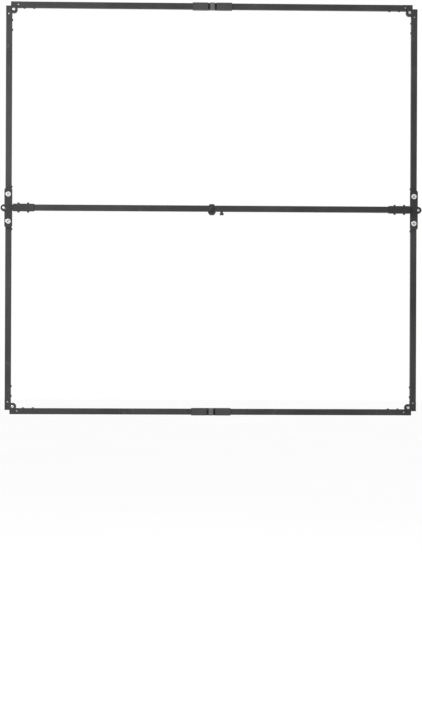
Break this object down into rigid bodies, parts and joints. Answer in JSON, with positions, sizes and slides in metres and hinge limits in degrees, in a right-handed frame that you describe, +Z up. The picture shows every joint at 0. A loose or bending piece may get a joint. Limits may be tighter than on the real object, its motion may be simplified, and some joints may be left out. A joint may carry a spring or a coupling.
{
  "type": "collapsible lighting frame",
  "caption": "Square folding frame of slim black tube with corner, side and centre hinges, and a removable crossbar with a stand boss and lock knob.",
  "frame": {"origin": "centre of the bottom face of the stand boss under the crossbar, where a stand holds the part", "axes": "+X to the right along the crossbar, +Z up, and the front of the frame faces -Y"},
  "size_m": [1.2482, 0.0459, 1.2232],
  "materials": {
    "tube_metal": "satin black powder coat on aluminium tube",
    "fitting_metal": "matt black coat on cast aluminium fittings",
    "link_metal": "dark grey coat on aluminium",
    "bright_steel": "bright zinc plated steel",
    "grey_button": "grey plated steel",
    "black_knob": "moulded, matt"
  },
  "bodies": {
    "brace": {"left_crossbar_tube": "tube_metal", "left_tee_bracket": "fitting_metal", "upper_left_button_collar": "bright_steel", "lower_left_button_collar": "bright_steel", "crossbar_joining_bar": "fitting_metal", "mount_saddle": "fitting_metal", "mount_boss": "fitting_metal", "dome_nut": "fitting_metal", "front_cap_screw": "fitting_metal"},
    "right_brace": {"right_crossbar_tube": "tube_metal", "right_tee_bracket": "fitting_metal", "lock_bush": "fitting_metal", "upper_right_button_collar": "bright_steel", "lower_right_button_collar": "bright_steel"},
    "lock_knob": {"lock_knob": "black_knob"},
    "top_link": {"top_centre_link": "link_metal", "top_left_centre_hinge_pin": "bright_steel", "top_right_centre_hinge_pin": "bright_steel"},
    "top_left_rail": {"top_left_rail_tube": "tube_metal", "top_left_centre_sleeve": "fitting_metal", "top_left_rail_corner_fitting": "fitting_metal", "top_left_corner_pin": "bright_steel"},
    "upper_left_side": {"upper_left_side_tube": "tube_metal", "upper_left_side_corner_fitting": "fitting_metal", "upper_left_side_hinge_body": "fitting_metal", "left_side_hinge_pin": "bright_steel"},
    "upper_left_button": {"upper_left_release_button": "grey_button"},
    "top_right_rail": {"top_right_rail_tube": "tube_metal", "top_right_centre_sleeve": "fitting_metal", "top_right_rail_corner_fitting": "fitting_metal", "top_right_corner_pin": "bright_steel"},
    "upper_right_side": {"upper_right_side_tube": "tube_metal", "upper_right_side_corner_fitting": "fitting_metal", "upper_right_side_hinge_body": "fitting_metal", "right_side_hinge_pin": "bright_steel"},
    "upper_right_button": {"upper_right_release_button": "grey_button"},
    "bottom_link": {"bottom_centre_link": "link_metal", "bottom_left_centre_hinge_pin": "bright_steel", "bottom_right_centre_hinge_pin": "bright_steel"},
    "bottom_left_rail": {"bottom_left_rail_tube": "tube_metal", "bottom_left_centre_sleeve": "fitting_metal", "bottom_left_rail_corner_fitting": "fitting_metal", "bottom_left_corner_pin": "bright_steel"},
    "lower_left_side": {"lower_left_side_tube": "tube_metal", "lower_left_side_corner_fitting": "fitting_metal", "lower_left_side_hinge_body": "fitting_metal"},
    "lower_left_button": {"lower_left_release_button": "grey_button"},
    "bottom_right_rail": {"bottom_right_rail_tube": "tube_metal", "bottom_right_centre_sleeve": "fitting_metal", "bottom_right_rail_corner_fitting": "fitting_metal", "bottom_right_corner_pin": "bright_steel"},
    "lower_right_side": {"lower_right_side_tube": "tube_metal", "lower_right_side_corner_fitting": "fitting_metal", "lower_right_side_hinge_body": "fitting_metal"},
    "lower_right_button": {"lower_right_release_button": "grey_button"}
  },
  "joints": [
    {"name": "frame_release", "type": "slide", "parent": "brace", "child": "top_link", "axis": [0, 1, 0], "range_m": [0, 0.1]},
    {"name": "crossbar_release", "type": "slide", "parent": "brace", "child": "right_brace", "axis": [1, 0, 0], "range_m": [0, 0.036]},
    {"name": "lock_knob_turn", "type": "hinge", "parent": "right_brace", "child": "lock_knob", "pos_m": [0.029, 0, 0.007], "axis": [0, 0, 1], "continuous": true},
    {"name": "book_fold", "type": "hinge", "parent": "top_link", "child": "top_left_rail", "pos_m": [-0.00965, 0.0248, 0.6196], "axis": [0, 0, -1], "range_deg": [0, 90]},
    {"name": "book_fold_right", "type": "hinge", "parent": "top_link", "child": "top_right_rail", "pos_m": [0.00965, 0.0248, 0.6196], "axis": [0, 0, 1], "range_deg": [0, 90]},
    {"name": "book_fold_bottom", "type": "hinge", "parent": "bottom_left_rail", "child": "bottom_link", "pos_m": [-0.00965, 0.0248, -0.5816], "axis": [0, 0, 1], "range_deg": [0, 90]},
    {"name": "side_fold", "type": "hinge", "parent": "top_left_rail", "child": "upper_left_side", "pos_m": [-0.5866, 0.0223, 0.6056], "axis": [0, -1, 0], "range_deg": [0, 80]},
    {"name": "left_side_hinge", "type": "hinge", "parent": "upper_left_side", "child": "lower_left_side", "pos_m": [-0.6138, 0.0223, 0.019], "axis": [0, 1, 0], "range_deg": [0, 160]},
    {"name": "bottom_left_corner", "type": "hinge", "parent": "lower_left_side", "child": "bottom_left_rail", "pos_m": [-0.5866, 0.0223, -0.5676], "axis": [0, -1, 0], "range_deg": [0, 80]},
    {"name": "top_right_corner", "type": "hinge", "parent": "top_right_rail", "child": "upper_right_side", "pos_m": [0.5866, 0.0223, 0.6056], "axis": [0, 1, 0], "range_deg": [0, 80]},
    {"name": "right_side_hinge", "type": "hinge", "parent": "upper_right_side", "child": "lower_right_side", "pos_m": [0.6138, 0.0223, 0.019], "axis": [0, -1, 0], "range_deg": [0, 160]},
    {"name": "bottom_right_corner", "type": "hinge", "parent": "lower_right_side", "child": "bottom_right_rail", "pos_m": [0.5866, 0.0223, -0.5676], "axis": [0, 1, 0], "range_deg": [0, 80]},
    {"name": "upper_left_button_press", "type": "slide", "parent": "brace", "child": "upper_left_button", "axis": [0, 1, 0], "range_m": [0, 0.0015], "stiffness_N_per_m": 800, "springref_m": -0.001},
    {"name": "lower_left_button_press", "type": "slide", "parent": "brace", "child": "lower_left_button", "axis": [0, 1, 0], "range_m": [0, 0.0015], "stiffness_N_per_m": 800, "springref_m": -0.001},
    {"name": "upper_right_button_press", "type": "slide", "parent": "right_brace", "child": "upper_right_button", "axis": [0, 1, 0], "range_m": [0, 0.0015], "stiffness_N_per_m": 800, "springref_m": -0.001},
    {"name": "lower_right_button_press", "type": "slide", "parent": "right_brace", "child": "lower_right_button", "axis": [0, 1, 0], "range_m": [0, 0.0015], "stiffness_N_per_m": 800, "springref_m": -0.001}
  ],
  "couplings": [
    {"joint": "book_fold_right", "follows": "book_fold", "ratio": 1},
    {"joint": "book_fold_bottom", "follows": "book_fold", "ratio": 1},
    {"joint": "left_side_hinge", "follows": "side_fold", "ratio": 2},
    {"joint": "bottom_left_corner", "follows": "side_fold", "ratio": 1},
    {"joint": "top_right_corner", "follows": "side_fold", "ratio": 1},
    {"joint": "right_side_hinge", "follows": "side_fold", "ratio": 2},
    {"joint": "bottom_right_corner", "follows": "side_fold", "ratio": 1}
  ]
}
